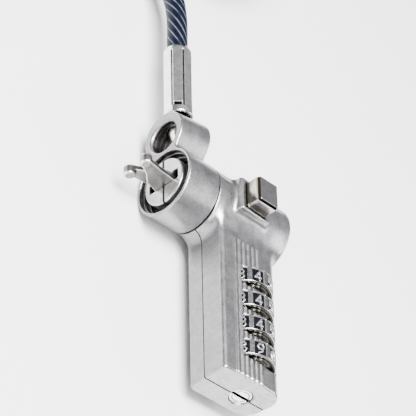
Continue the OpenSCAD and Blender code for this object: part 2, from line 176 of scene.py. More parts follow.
def isoSurface(name, field, low, high, cell, uncut=None):
    # the surface where a distance field is zero: a point in each grid cell that it crosses, at the
    # mean of the cell's edge crossings, then moved onto the surface along the field's slope;
    # the trait "deep" is the depth in mm below the uncut form
    cell = cell * cellScale
    axes = [np.arange(a - cell, b + 2 * cell, cell, dtype=np.float32) for a, b in zip(low, high)]
    d = field(*np.meshgrid(*axes, indexing="ij", sparse=True))
    d = np.ascontiguousarray(np.broadcast_to(d, [len(ax) for ax in axes]), np.float32)
    inside = d < 0
    n = np.array(d.shape) - 1
    corners = [(i, j, k) for i in (0, 1) for j in (0, 1) for k in (0, 1)]
    cut = lambda a, c: a[c[0]:c[0] + n[0], c[1]:c[1] + n[1], c[2]:c[2] + n[2]]
    filled = sum(cut(inside, c).astype(np.int8) for c in corners)
    active = (filled > 0) & (filled < 8)
    where = np.argwhere(active)
    number = np.full(tuple(n), -1, np.int64)
    number[active] = np.arange(len(where))
    value = np.stack([cut(d, c)[active] for c in corners], 1)
    total = np.zeros((len(where), 3)); hits = np.zeros(len(where))
    for a, ca in enumerate(corners):
        for b, cb in enumerate(corners):
            if b > a and sum(abs(s - t) for s, t in zip(ca, cb)) == 1:
                va, vb = value[:, a], value[:, b]
                hit = (va < 0) != (vb < 0)
                t = np.where(hit, va / np.where(hit, va - vb, 1), 0)[:, None]
                spot = np.array(ca) * (1 - t) + np.array(cb) * t
                total += spot * hit[:, None]
                hits += hit
    points = (where + total / hits[:, None]) * cell + np.array([ax[0] for ax in axes])
    start = points.copy()
    for turn in range(4):
        slope = fieldSlope(field, points)
        size = np.maximum((slope ** 2).sum(1), 0.05)
        points -= (field(*points.T) / size)[:, None] * slope
        points = np.clip(points, start - 0.7 * cell, start + 0.7 * cell)
    quads = []
    for a in range(3):
        b, c = (a + 1) % 3, (a + 2) % 3
        one, two = [slice(None)] * 3, [slice(None)] * 3
        one[a], two[a] = slice(0, -1), slice(1, None)
        first = inside[tuple(one)]
        edge = np.argwhere(first != inside[tuple(two)])
        edge = edge[(edge[:, b] > 0) & (edge[:, c] > 0) & (edge[:, b] < n[b]) & (edge[:, c] < n[c])]
        eb, ec = np.eye(3, dtype=int)[b], np.eye(3, dtype=int)[c]
        ring = [number[tuple((edge - s).T)] for s in (eb + ec, ec, 0 * eb, eb)]
        ring = np.stack(ring, 1)
        out = first[tuple(edge.T)]
        quads.append(np.where(out[:, None], ring, ring[:, ::-1]))
    quads = np.concatenate(quads)
    slope = fieldSlope(field, points)
    normals = slope / np.maximum(np.linalg.norm(slope, axis=1), 1e-6)[:, None]
    traits = {"bend": fieldBend(field, points)}
    if uncut:
        traits["deep"] = -uncut(*points.T)
    piece = addPiece(name, points, quads, normals=normals, traits=traits)
    print(name, len(quads), "quads")
    return piece


# cable: one length from the ferrule, through a tied hank, to the end loop

cable = {
    "diameter": 5.5,
    "route": [(-45, 5.6, 0), (-50, 5.6, 0), (-58, 5.6, 0), (-66, 5.1, -0.9),
              (-74, 2.6, -3), (-82, -1.4, -5), (-90, -5.8, -6), (-98, -9.75, -6.05),
              (-106, -12.55, -6.05), (-112, -13.25, -6.05), (-124, -13.25, -6.05)],
    "exit": (-46.6, 5.6, 0),
    "hankCentre": (-124, 14.25),
    "run": 24,                       # straight part between the hank's ends
    "outer": 27.5, "inner": 16.5,    # radii of its ends
    "turns": 2, "layers": 4,
    "loopInner": 19.2, "loopOuter": 24.9,
    "sleeveAt": 8.5,                 # in turns from the start of the hank
    "sides": 24,
}

def smoothStep(a, b, t):
    s = np.clip((t - a) / (b - a), 0, 1)
    return s * s * (3 - 2 * s)

def curveThrough(points, perSpan):
    # a curve through the points whose slope at each is that between its neighbours
    p = np.array(points, float)
    p = np.vstack([2 * p[0] - p[1], p, 2 * p[-1] - p[-2]])
    t = np.arange(perSpan)[:, None] / perSpan
    spans = []
    for a, b, c, d in zip(p, p[1:], p[2:], p[3:]):
        spans.append(0.5 * (2 * b + (c - a) * t + (2 * a - 5 * b + 4 * c - d) * t ** 2
                            + (3 * b - a - 3 * c + d) * t ** 3))
    return np.vstack(spans + [p[-2:-1]])

def ovalSpot(p, t, radius):
    # where a walker is after t turns round an oval of straight runs and half circles, that starts
    # at the middle of the run at -Y and goes towards -X
    run, bend = p["run"], math.pi * (p["inner"] + p["outer"]) / 2
    whole = 2 * (run + bend)
    walked = (t % 1) * whole
    edges = np.cumsum([0, run / 2, bend, run, bend, run / 2])
    turned = np.interp(walked, edges, [0, 0, math.pi, math.pi, 2 * math.pi, 2 * math.pi])
    shift = np.interp(walked, edges, [0, -run / 2, -run / 2, run / 2, run / 2, 0])
    return np.stack([p["hankCentre"][0] + shift - radius * np.sin(turned),
                     p["hankCentre"][1] - radius * np.cos(turned)], 1)

def cablePath(p):
    # a flat oval spiral in, a step up by one diameter, a flat oval spiral out, and so on; the last
    # turn lies on top and comes back beside itself in the sleeve
    d = p["diameter"]
    lead = curveThrough(p["route"], 3)[:-1]
    total = p["turns"] * p["layers"]
    sleeveAt = p["sleeveAt"]
    end = sleeveAt + 1.032
    t = np.linspace(0, end, int(end * 48))
    layer = np.clip(np.floor(t / p["turns"]), 0, p["layers"] - 1)
    within = np.clip(t / p["turns"] - layer, 0, 1)
    inward = np.where(layer % 2 == 0, within, 1 - within)
    radius = p["outer"] + (p["inner"] - p["outer"]) * inward
    loopPart = smoothStep(total + 0.02, sleeveAt - 0.05, t)
    loopRadius = p["loopInner"] + (p["loopOuter"] - p["loopInner"]) * smoothStep(0.15, 0.85,
                                                                               t - sleeveAt)
    radius = radius * (1 - loopPart) + loopRadius * loopPart
    z = np.full_like(t, p["route"][-1][2])
    for k in range(1, p["layers"]):
        z += d * smoothStep(p["turns"] * k - 0.12, p["turns"] * k + 0.12, t)
    z += d * smoothStep(total + 0.03, total + 0.3, t)
    nearSleeve = np.minimum(np.abs(t - sleeveAt), np.abs(t - sleeveAt - 1))
    z += 0.95 * (1 - smoothStep(0.05, 0.18, nearSleeve))
    return np.vstack([lead, np.column_stack([ovalSpot(p, t, radius), z])])

def frameAlong(path):
    # tangent and two side directions at each point of a path
    tangent = np.gradient(path, axis=0)
    tangent /= np.linalg.norm(tangent, axis=1)[:, None]
    side = np.cross(tangent, (0, 0, 1.0))
    side /= np.linalg.norm(side, axis=1)[:, None]
    return tangent, side, np.cross(side, tangent)

def tubePiece(name, path, radius, sides):
    # a round section carried along a path, its ends closed by rings that shrink to the axis
    tangent, side, up = frameAlong(path)
    scale = np.ones(len(path))
    path = np.vstack([path[:1], path[:1], path, path[-1:], path[-1:]])
    side, up = [np.vstack([v[:1], v[:1], v, v[-1:], v[-1:]]) for v in (side, up)]
    scale = np.concatenate([[0.02, 0.9], scale, [0.9, 0.02]])
    a = np.linspace(0, 2 * math.pi, sides + 1)
    ring = radius * scale[:, None, None] * (np.cos(a)[None, :, None] * side[:, None]
                                            + np.sin(a)[None, :, None] * up[:, None])
    points = path[:, None] + ring
    rows = len(path)
    length = np.concatenate([[0], np.cumsum(np.linalg.norm(np.diff(path, axis=0), axis=1))])
    uvGrid = np.stack(np.broadcast_arrays(length[:, None], a[None] / (2 * math.pi)), -1)
    quads = gridQuads(rows, sides + 1)
    uv = uvGrid.reshape(-1, 2)[quads[:, ::-1].ravel()]
    keep = (np.arange(rows)[:, None] * sides + np.arange(sides + 1)[None] % sides).ravel()
    first, last = endCaps(rows, sides)
    return addPiece(name, points[:, :sides].reshape(-1, 3), keep[quads][:, ::-1], uv=uv,
                    caps=(first[::-1], last[::-1]))

path = cablePath(cable)
cablePiece = tubePiece("cable", path, cable["diameter"] / 2, cable["sides"])

def closedLoft(points):
    # rings of a loft, each end closed by a ring at its centre
    middle = lambda ring: ring.mean(0) + (ring - ring.mean(0)) * 0.01
    points = np.concatenate([middle(points[0])[None], points, middle(points[-1])[None]])
    rows, columns = points.shape[:2]
    return (points.reshape(-1, 3), gridQuads(rows, columns, wrapColumns=True),
            endCaps(rows, columns))

endSleeve = {"length": 15, "gap": 5.7, "wall": 0.92, "height": 16.95, "lip": 0.8, "crimp": 0.22}

def sleevePiece(name, p):
    # an oval section round two strands side by side, carried along X; its ends are rounded over
    # and three crimp bands press it in
    s = np.linspace(0, 1, 81)
    inset = np.minimum(s, 1 - s) * p["length"] / p["lip"]
    grow = np.sqrt(np.clip(1 - (1 - np.clip(inset, 0, 1)) ** 2, 0, 1))
    crimp = sum(np.exp(-((s - c) / 0.045) ** 2) for c in (0.25, 0.5, 0.75)) * p["crimp"]
    a = np.linspace(0, 2 * math.pi, 49)[:-1]
    wall = (p["wall"] + cable["diameter"] / 2 - crimp - 0.5 * (1 - grow))[:, None]
    across = p["gap"] / 2 * np.clip(np.cos(a) * 3, -1, 1)[None] + wall * np.cos(a)[None]
    x = cable["hankCentre"][0] + (s - 0.5)[:, None] * p["length"]
    y = cable["hankCentre"][1] + (cable["loopInner"] + cable["loopOuter"]) / 2 + across
    z = p["height"] + wall * np.sin(a)[None]
    points, quads, caps = closedLoft(np.stack(np.broadcast_arrays(x, y, z), -1))
    return addPiece(name, points, quads, caps=caps)

sleeve = sleevePiece("loopSleeve", endSleeve)

strap = {
    # distance from the hank's middle and height of each corner of the bundle's section
    "section": [(13.6, -8.95), (30.4, -8.95), (30.4, 13.35), (25.2, 18.9), (18.9, 18.9),
                (13.6, 13.35)],
    "round": 2.4, "width": 8, "thick": 0.45, "lap": 16,
}

def roundedLoop(corners, cut, count):
    # an outline whose corners are replaced by curves, walked in even steps
    corners = np.array(corners, float)
    t = np.linspace(0, 1, 9)[:, None]
    loop = []
    for a, b, c in zip(np.roll(corners, 1, 0), corners, np.roll(corners, -1, 0)):
        far = [v / np.linalg.norm(v) * min(cut, np.linalg.norm(v) / 2) for v in (a - b, c - b)]
        loop.append((1 - t) ** 2 * (b + far[0]) + 2 * t * (1 - t) * b + t ** 2 * (b + far[1]))
    line = np.vstack(loop + [loop[0][:1]])
    step = np.concatenate([[0], np.cumsum(np.linalg.norm(np.diff(line, axis=0), axis=1))])
    s = np.linspace(0, step[-1], count, endpoint=False)
    line = np.stack([np.interp(s, step, line[:, i]) for i in (0, 1)], 1)
    along = np.roll(line, -1, 0) - np.roll(line, 1, 0)
    out = np.stack([along[:, 1], -along[:, 0]], 1) / np.linalg.norm(along, axis=1)[:, None]
    return s, line, out

def strapPiece(name, p):
    # a flat strap round the bundle: the rounded outline of its section carried across the strap's
    # width, with the strap's thickness, doubled where one end lies over the other
    s, line, out = roundedLoop(p["section"], p["round"], 220)
    w = p["width"] / 2
    side = np.array([-w, -w + 0.15, -w / 2, 0, w / 2, w - 0.15, w, w, w - 0.15, 0, -w + 0.15, -w])
    rise = np.array([0.5, 1, 1, 1, 1, 1, 0.5, 0.5, 0, 0, 0, 0.5])[None] * p["thick"]
    lap = 1 + 0.3 * ((s < p["lap"])[:, None] & (rise > 0.4 * p["thick"]))
    r = line[:, :1] + out[:, :1] * rise * lap
    z = line[:, 1:] + out[:, 1:] * rise * lap
    x = cable["hankCentre"][0] + side[None]
    y = cable["hankCentre"][1] - r
    points = np.stack(np.broadcast_arrays(x, y, z), -1)
    rows, columns = r.shape
    quads = gridQuads(rows, columns, wrapRows=True, wrapColumns=True)
    uv = np.stack(np.broadcast_arrays(s[:, None], side[None]), -1).reshape(-1, 2)[quads.ravel()]
    return addPiece(name, points.reshape(-1, 3), quads, uv=uv)

strapOnHank = strapPiece("hankStrap", strap)

for piece, slot in ((cablePiece, "cable_coating"), (sleeve, "bright_nickel"),
                    (strapOnHank, "strap")):
    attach(piece, "cable")
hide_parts("cable_lead", "cable_coil", "cable_loop")
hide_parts("loop_sleeve")
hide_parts("cable_tie")

def arcPoints(centre, r, start, end, count=7):
    a = np.radians(np.linspace(start, end, count))
    return [(centre[0] + r * c, centre[1] + r * s) for c, s in zip(np.cos(a), np.sin(a))]

def nearest(p, first, pitch, count):
    # p measured from the nearest of a row of evenly spaced places
    return p - first - pitch * np.clip(np.round((p - first) / pitch), 0, count - 1)

def boxOf(node):
    # a CAD node's lowest and highest corner, in mm
    return [[v / mm for v in corner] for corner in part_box(node)]

def middleOf(node):
    low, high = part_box(node)
    return [(a + b) / 2 / mm for a, b in zip(low, high)]

def rodX(x, y, z, r, x0, x1, y0=0.0, z0=0.0, edge=0.05):
    # a rod along X from x0 to x1, its axis through y0 and z0; rodY and rodZ lie along Y and Z
    return bothRounded(np.hypot(y - y0, z - z0) - r, slabDistance(x, x0, x1), edge)

def rodY(x, y, z, *rest, **more): return rodX(y, x, z, *rest, **more)

def rodZ(x, y, z, *rest, **more): return rodX(z, x, y, *rest, **more)

def cutBy(f, *tools, k=0.25):
    for tool in tools:
        f = smoothMax(f, -tool, k)
    return f


# head: two halves of one casting

cableY, screwY = 5.6, 25.5            # Y of the cable's end and of the screw, both along X
dialCentre = middleOf("dial_1")
dialPitch = middleOf("dial_2")[0] - dialCentre[0]
buttonLow, buttonHigh = boxOf("button")

head = {
    "barrel": 9.35, "barrelFront": 10.8, "barrelBack": 36.4, "barrelEdge": 0.75,
    "handleEnd": 53.0, "handleEdge": 0.5, "fillet": 3.6,
    "outline": arcPoints((15.3, -3.7), 2.2, 180, 270) + arcPoints((28.3, -0.5), 5.4, 270, 360, 11)
               + arcPoints((29.3, 2.2), 4.7, 0, 90, 9) + [(24.1, 7.3), (19.1, 7.2)]
               + arcPoints((14.25, 5.75), 1.15, 90, 180),
    "shroud": [(17.2, 5), (17.2, 10.0), (17.6, 10.45), (26.5, 10.0), (26.5, 5)],
    "shroudHalf": 4.9, "shroudEdge": 0.4, "shroudFillet": 1.6,
    "ribFrom": 12, "ribTo": 52.6, "ribY": 17.5, "ribPitch": 1.6, "ribs": 6,
    "ribRadius": 0.5, "ribZ": 7.08, "ribFillet": 0.35,
    "frontEdge": 0.3, "nose": 6.65, "noseTo": 12, "noseEdge": 0.45,
    "snapGroove": (6.25, 5.45, 6.25),        # radius of its floor, span along Y
    # pockets as spans along X, Y and Z
    "window": ((-1.45, 1.45), (-1, 2.2), (-5, 5)),
    "barRoom": ((-2.6, 2.6), (1.2, 13), (-5, 5)),
    "driverRoom": ((-3.3, 4.9), (12, 33), (-4, 3.2)),
    "buttonWell": ((-4.05, 4.05), (18.55, 25.65), (5.6, 16)),
    "finRoom": ((3.3, 49.3), (22.93, 27.07), (-0.5, 2.4)),
    # bores as radius, span along the axis and the axis's place
    "springBore": (1.95, 3, 7, 0, 22.1), "spindleBore": (2.07, 3.2, 49.3, *dialCentre[1:]),
    "screwBore": (1.55, 49, 52, screwY), "screwSeat": (3.02, 51.6, 55, screwY),
    "dialSlot": 7.65, "dialSlotHalf": 2.4, "detentBore": (1, 14.2, 19),
    "partingGap": 0.03, "partingEdge": 0.26,
    "cell": 0.3,
}

def headBody(x, y, z):
    p = head
    barrel = bothRounded(np.hypot(x, z) - p["barrel"], y - p["barrelBack"], p["barrelEdge"])
    grip = bothRounded(outlineDistance(y, z, p["outline"]), x - p["handleEnd"], p["handleEdge"])
    grip = np.maximum(grip, -x)
    body = smoothMin(barrel, grip, p["fillet"])
    shroud = bothRounded(outlineDistance(y, z, p["shroud"]) - p["shroudEdge"],
                         np.abs(x) - p["shroudHalf"], p["shroudEdge"])
    body = smoothMin(body, shroud, p["shroudFillet"])
    ribY = nearest(y, p["ribY"], p["ribPitch"], p["ribs"])
    ribX = x - np.clip(x, p["ribFrom"] + p["ribRadius"], p["ribTo"])
    rib = np.sqrt(ribX ** 2 + ribY ** 2 + (z - p["ribZ"]) ** 2) - p["ribRadius"]
    body = smoothMin(body, rib, p["ribFillet"])
    body = bothRounded(body, p["barrelFront"] - y, p["frontEdge"])
    nose = bothRounded(np.hypot(x, z) - p["nose"], slabDistance(y, 0, p["noseTo"]),
                       p["noseEdge"])
    return np.minimum(body, nose)

def headField(x, y, z):
    p = head
    body = headBody(x, y, z)
    floor, *span = p["snapGroove"]
    groove = np.maximum(floor - np.hypot(x, z), slabDistance(y, *span))
    body = cutBy(body, groove, k=0.1)
    rooms = [boxDistance(x, y, z, *p[key]) for key in ("window", "barRoom", "driverRoom")]
    body = cutBy(body, *rooms, k=0.3)
    body = cutBy(body, boxDistance(x, y, z, *p["buttonWell"]), k=0.5)
    body = cutBy(body, rodZ(x, y, z, *p["springBore"]))
    dialX = nearest(x, dialCentre[0], dialPitch, 4)
    slot = bothRounded(np.hypot(y - dialCentre[1], z - dialCentre[2]) - p["dialSlot"],
                       np.abs(dialX) - p["dialSlotHalf"], 0.1)
    radius, *span = p["detentBore"]
    detent = np.maximum(np.hypot(dialX, z - dialCentre[2]) - radius, slabDistance(y, *span))
    body = cutBy(body, slot, detent, k=0.35)
    bore = smoothMin(rodX(x, y, z, *p["spindleBore"]), boxDistance(x, y, z, *p["finRoom"]), 0.1)
    body = cutBy(body, bore, rodX(x, y, z, *p["screwBore"]), k=0.2)
    return cutBy(body, rodX(x, y, z, *p["screwSeat"]), k=0.45)

def frontHalf(x, y, z):
    return smoothMax(headField(x, y, z), head["partingGap"] - z, head["partingEdge"])

def backHalf(x, y, z):
    return smoothMax(headField(x, y, z), head["partingGap"] + z, head["partingEdge"])

shellFront = isoSurface("shellFront", frontHalf, (-9.6, 0, 0), (53.2, 36.5, 11.2), head["cell"],
                        headBody)
shellBack = isoSurface("shellBack", backHalf, (-9.6, 0, -9.6), (53.2, 36.5, 0), head["cell"],
                       headBody)


# swivel collar with the lobe that holds the cable

collar = {
    "radius": 9.5, "length": 10.6, "edge": 0.5,
    "lobeX": -15.15, "lobeLean": -0.137, "lobe": 6.7,   # its centre leans back along Y
    "neck": 3.4, "neckFillet": 3.0,
    "mouthSteps": [(8.75, 1.5), (8.45, 3.3), (8.15, 6.3)],   # radius and depth of each step
    "bore": (6.75, 4, 12),                   # radius, span along Y
    "eyeX": -14.6, "eye": 4.4, "eyeEdge": 1.1,
    "seat": (2.85, -18.95), "throat": (1.97, -26),   # the swivel pin's bores: radius, end
    "cell": 0.22,
}

def collarBody(x, y, z):
    p = collar
    drum = np.hypot(x, z) - p["radius"]
    lobeX = p["lobeX"] + p["lobeLean"] * y
    lobe = np.hypot(x - lobeX, z) - p["lobe"]
    neck = np.maximum(np.abs(z) - p["neck"], np.maximum(x + 3, lobeX - x))
    body = smoothMin(smoothMin(drum, neck, 1.0), lobe, p["neckFillet"])
    return bothRounded(body, slabDistance(y, 0, p["length"]), p["edge"])

def collarField(x, y, z):
    p = collar
    body = collarBody(x, y, z)
    for r, depth in p["mouthSteps"]:
        body = cutBy(body, rodY(x, y, z, r, -2, depth, edge=0.02), k=0.12)
    body = cutBy(body, rodY(x, y, z, *p["bore"]), k=0.2)
    body = cutBy(body, rodY(x, y, z, p["eye"], -2, 13, p["eyeX"]), k=p["eyeEdge"])
    return cutBy(body, rodX(x, y, z, *p["seat"], p["eyeX"], cableY),
                 rodX(x, y, z, *p["throat"], p["eyeX"], cableY), k=0.2)

collarPiece = isoSurface("collarCasting", collarField, (-23.5, 0, -9.6), (9.6, 10.7, 9.6),
                         collar["cell"], collarBody)


# T bar: two hooked bars with a bulb at each end

bar = {
    "outline": [(11.7, -2.1), (11.7, 1.1), (5, 2.6), (0, 3.5), (-4.9, 3.9), (-7.2, 4.3),
                (-9.0, 4.4), (-8.8, 1.7), (-6.3, 0.3), (-3.9, -1.9), (0, -3), (5, -2.6)],
    "inner": 0.05, "outer": 1.4, "edge": 0.16,
    "bulb": (-8.8, 3.0), "bulbRadius": 1.5, "bulbEdge": 0.55, "neckFillet": 0.35,
    "pivotY": 4.5, "pinY": 7.5, "turnPerMm": 2.0,   # degrees of turn for each mm of the pin
    "pinTravel": 2.97, "camHalf": 0.68, "pivotBore": 0.95,
    "cell": 0.14,
}

def barField(side):
    corners = [(a, b * side) for a, b in bar["outline"]]
    def field(x, y, z):
        p = bar
        middle = side * (p["inner"] + p["outer"]) / 2
        plate = bothRounded(outlineDistance(y, z, corners),
                            np.abs(x - middle) - (p["outer"] - p["inner"]) / 2, p["edge"])
        bulb = bothRounded(np.hypot(y - p["bulb"][0], z - side * p["bulb"][1]) - p["bulbRadius"],
                           np.abs(x) - p["outer"], p["bulbEdge"])
        plate = smoothMin(plate, bulb, p["neckFillet"])
        camY = np.clip(y, p["pinY"], p["pinY"] + p["pinTravel"])
        camZ = (camY - p["pivotY"]) * np.sin(np.radians(p["turnPerMm"] * (camY - p["pinY"])))
        cam = np.hypot(y - camY, z + side * camZ) - p["camHalf"]
        return cutBy(plate, rodX(x, y, z, p["pivotBore"], -3, 3, p["pivotY"]), cam, k=0.1)
    return field

barPieces = []
for name, side in (("barA", 1), ("barB", -1)):
    barPieces.append(isoSurface(name, barField(side), (-1.5, -10.4, -4.6), (1.5, 11.8, 4.6),
                                bar["cell"]))


# push button

button = {"corner": 0.75, "edge": 0.12, "chamferIn": 0.45, "chamferDown": 0.95, "cell": 0.15,
          "foot": 9.6, "stem": 1.9, "stemTo": 13, "room": (3.0, 8, 12.6),
          "rampAt": 22}           # Y less height along the stem's slanted end

def buttonField(x, y, z):
    p = button
    span = [(a, b) for a, b in zip(buttonLow, buttonHigh)]
    midY = (span[1][0] + span[1][1]) / 2
    half = (span[1][1] - span[1][0]) / 2
    r = p["corner"]
    wall = bothRounded(np.abs(x) - span[0][1], np.abs(y - midY) - half, r)
    body = bothRounded(wall, slabDistance(z, p["foot"], span[2][1]), p["edge"])
    tall = math.hypot(p["chamferIn"], p["chamferDown"])
    slope = (wall * p["chamferDown"] + (z - span[2][1]) * p["chamferIn"]
             + p["chamferIn"] * p["chamferDown"]) / tall
    body = smoothMax(body, slope, 0.14)
    body = cutBy(body, rodZ(x, y, z, *p["room"], 0, midY), k=0.15)
    stem = np.maximum(rodZ(x, y, z, p["stem"], span[2][0], p["stemTo"], 0, midY),
                      (y - p["rampAt"] - z) / math.sqrt(2))
    return smoothMin(body, stem, 0.2)

buttonPiece = isoSurface("pushButton", buttonField, buttonLow, buttonHigh, button["cell"])


# ferrule crimped on the cable

diagonal = 1 / math.sqrt(2)
ferruleLow, ferruleHigh = boxOf("ferrule")

ferrule = {
    "flat": 3.65, "round": 0.5, "rim": 3.8, "rimLength": 1.9,
    "groove": 0.34, "grooveDepth": 0.45,
    "notchLength": 1.1, "notchHalf": 1.0, "notchDepth": 0.6,
    "cone": 2.0, "mouth": 3.15, "hollow": 3.05, "hollowDepth": 1.1,
    "scallop": 7.5, "scallopX": -16.2, "pinBore": 1.9, "pinDepth": 5,
    "cableBore": 2.8, "cableDepth": 12.6,
    "cell": 0.17,
}

def ferruleBody(x, y, z):
    p = ferrule
    start, end = ferruleLow[0], ferruleHigh[0]
    v = y - cableY
    body = np.abs(v) - p["flat"]
    for axis in (np.abs(z), np.abs(v + z) * diagonal, np.abs(v - z) * diagonal):
        body = smoothMax(body, axis - p["flat"], p["round"])
    cone = np.hypot(v, z) - p["mouth"] - np.maximum(x - start, 0) * (p["flat"] - p["mouth"]) * 1.2
    body = smoothMax(body, cone * 0.85, 0.2)
    body = bothRounded(body, slabDistance(x, start, end - p["rimLength"] + 0.3), 0.25)
    rim = rodX(x, y, z, p["rim"], end - p["rimLength"], end, cableY, edge=0.35)
    return smoothMin(body, rim, 0.25)

def ferruleField(x, y, z):
    p = ferrule
    start, end = ferruleLow[0], ferruleHigh[0]
    v = y - cableY
    body = ferruleBody(x, y, z)
    out, across = (z - v) * diagonal, (z + v) * diagonal
    width = p["flat"] * math.tan(math.radians(22.5))
    groove = np.maximum(np.abs(np.abs(across) - width) - p["groove"] / 2,
                        p["flat"] - p["grooveDepth"] - np.abs(out))
    groove = np.maximum(groove, x - end + p["rimLength"])
    groove = np.maximum(groove, start + p["cone"] - x)
    body = cutBy(body, groove, k=0.1)
    notch = np.maximum(np.abs(across) - p["notchHalf"], p["flat"] - p["notchDepth"] - np.abs(out))
    notch = np.maximum(notch, slabDistance(x, end - p["rimLength"] - p["notchLength"],
                                           end - p["rimLength"]))
    body = cutBy(body, notch, k=0.12)
    scallop = np.hypot(x - p["scallopX"], z) - p["scallop"]
    body = cutBy(body, rodX(x, y, z, p["hollow"], end - p["hollowDepth"], end + 2, cableY),
                 scallop, k=0.3)
    return cutBy(body, rodX(x, y, z, p["pinBore"], end - p["pinDepth"], end, cableY),
                 rodX(x, y, z, p["cableBore"], start - 2, start + p["cableDepth"], cableY),
                 k=0.15)

ferrulePiece = isoSurface("ferruleCrimp", ferruleField, ferruleLow, ferruleHigh, ferrule["cell"],
                          ferruleBody)


# swivel pin and reset screw

swivel = {"head": 2.7, "seat": -18.9, "dome": 3.2, "neck": 1.9, "end": -28.6}

def lathePiece(name, profile, centre, sides=72):
    # a profile of (distance along X, radius) turned about an axis along X; both ends at radius 0
    profile = np.array(profile, float)
    a = np.linspace(0, 2 * math.pi, sides, endpoint=False)
    x = np.broadcast_to(profile[:, :1], (len(profile), sides))
    y = centre[0] + profile[:, 1:] * np.cos(a)
    z = centre[1] + profile[:, 1:] * np.sin(a)
    points = np.stack([x, y, z], -1).reshape(-1, 3)
    return addPiece(name, points, gridQuads(len(profile), sides, wrapColumns=True),
                    caps=endCaps(len(profile), sides))

def swivelProfile(p):
    # neck, the head's seat, its rounded rim and its dome
    a = np.radians(np.linspace(0, 88, 24))
    neck = [(p["end"], 0.02), (p["end"], p["neck"] - 0.2), (p["end"] + 0.2, p["neck"]),
            (p["seat"] - 0.2, p["neck"]), (p["seat"], p["neck"] + 0.15)]
    rim = [(p["seat"], p["head"] - 0.25), (p["seat"] + 0.1, p["head"] - 0.08),
           (p["seat"] + 0.3, p["head"])]
    top = p["seat"] + 0.55
    dome = [(top + p["dome"] * math.sin(t), p["head"] * math.cos(t)) for t in a]
    return neck + rim + dome

swivelPiece = lathePiece("swivelHead", swivelProfile(swivel), (cableY, 0))

screw = {"radius": 2.9, "back": 51.65, "face": 52.7, "edge": 0.3, "slot": 0.45,
         "slotFloor": 52.1, "ring": 2.15, "ringHalf": 0.12, "ringDepth": 0.14,
         "shank": (1.5, 49.4, 52, screwY), "cell": 0.13}

def screwBody(x, y, z):
    p = screw
    r = np.hypot(y - screwY, z)
    return bothRounded(r - p["radius"], slabDistance(x, p["back"], p["face"]), p["edge"])

def screwField(x, y, z):
    p = screw
    r = np.hypot(y - screwY, z)
    disc = screwBody(x, y, z)
    ring = np.maximum(np.abs(r - p["ring"]) - p["ringHalf"], p["face"] - p["ringDepth"] - x)
    disc = cutBy(disc, ring, k=0.12)
    disc = cutBy(disc, np.maximum(np.abs(z) - p["slot"], p["slotFloor"] - x), k=0.12)
    return smoothMin(disc, rodX(x, y, z, *p["shank"]), 0.1)

screwLow, screwHigh = boxOf("reset_screw")
screwPiece = isoSurface("resetScrew", screwField, screwLow, screwHigh, screw["cell"], screwBody)


# dials: ten black panels with raised figures between bright bars

figures = {
    # strokes in a box one high and one wide, from its lower left corner
    0: [[(0.5, 1), (0.15, 0.85), (0, 0.5), (0.15, 0.15), (0.5, 0), (0.85, 0.15), (1, 0.5),
         (0.85, 0.85), (0.5, 1)]],
    1: [[(0.2, 0.78), (0.55, 1), (0.55, 0)]],
    2: [[(0.05, 0.78), (0.25, 0.97), (0.7, 1), (0.95, 0.8), (0.9, 0.58), (0.05, 0), (1, 0)]],
    3: [[(0.05, 0.95), (0.7, 1), (0.95, 0.78), (0.8, 0.56), (0.4, 0.52), (0.85, 0.46),
         (1, 0.24), (0.75, 0.02), (0.05, 0.05)]],
    4: [[(0.75, 0), (0.75, 1), (0, 0.32), (1, 0.32)]],
    5: [[(0.95, 1), (0.15, 1), (0.1, 0.56), (0.7, 0.6), (1, 0.34), (0.8, 0.04), (0.05, 0.02)]],
    6: [[(0.85, 1), (0.3, 0.8), (0, 0.35), (0.2, 0.03), (0.75, 0.03), (1, 0.32), (0.75, 0.55),
         (0.2, 0.52)]],
    7: [[(0, 1), (1, 1), (0.4, 0)]],
    8: [[(0.5, 0.54), (0.12, 0.75), (0.3, 1), (0.7, 1), (0.88, 0.75), (0.5, 0.54), (0, 0.27),
         (0.25, 0), (0.75, 0), (1, 0.27), (0.5, 0.54)]],
    9: [[(0.15, 0), (0.7, 0.2), (1, 0.65), (0.8, 0.97), (0.25, 0.97), (0, 0.68), (0.25, 0.45),
         (0.8, 0.48)]],
}

dial = {
    "radius": 7.5, "bore": 4.5, "width": 4.5, "panels": 10,
    "firstPanel": 14, "panelHalf": 13.4,      # degrees
    "panelDepth": 0.42, "panelReach": 1.92,   # half of the panel's length along the axis
    "figureTall": 2.7, "figureWide": 1.75, "stroke": 0.18, "figureRise": 0.34,
    "edge": 0.3, "rimStep": 0.12,
    "around": 700, "across": 66,
    "figuresAtFirst": (4, 4, 4, 9),           # figure on each dial's first panel
}

def strokeDistance(u, v, strokes):
    best = np.full(u.shape, 1e9)
    for line in strokes:
        for (au, av), (bu, bv) in zip(line, line[1:]):
            eu, ev = bu - au, bv - av
            t = np.clip(((u - au) * eu + (v - av) * ev) / (eu * eu + ev * ev), 0, 1)
            best = np.minimum(best, np.hypot(u - au - eu * t, v - av - ev * t))
    return best

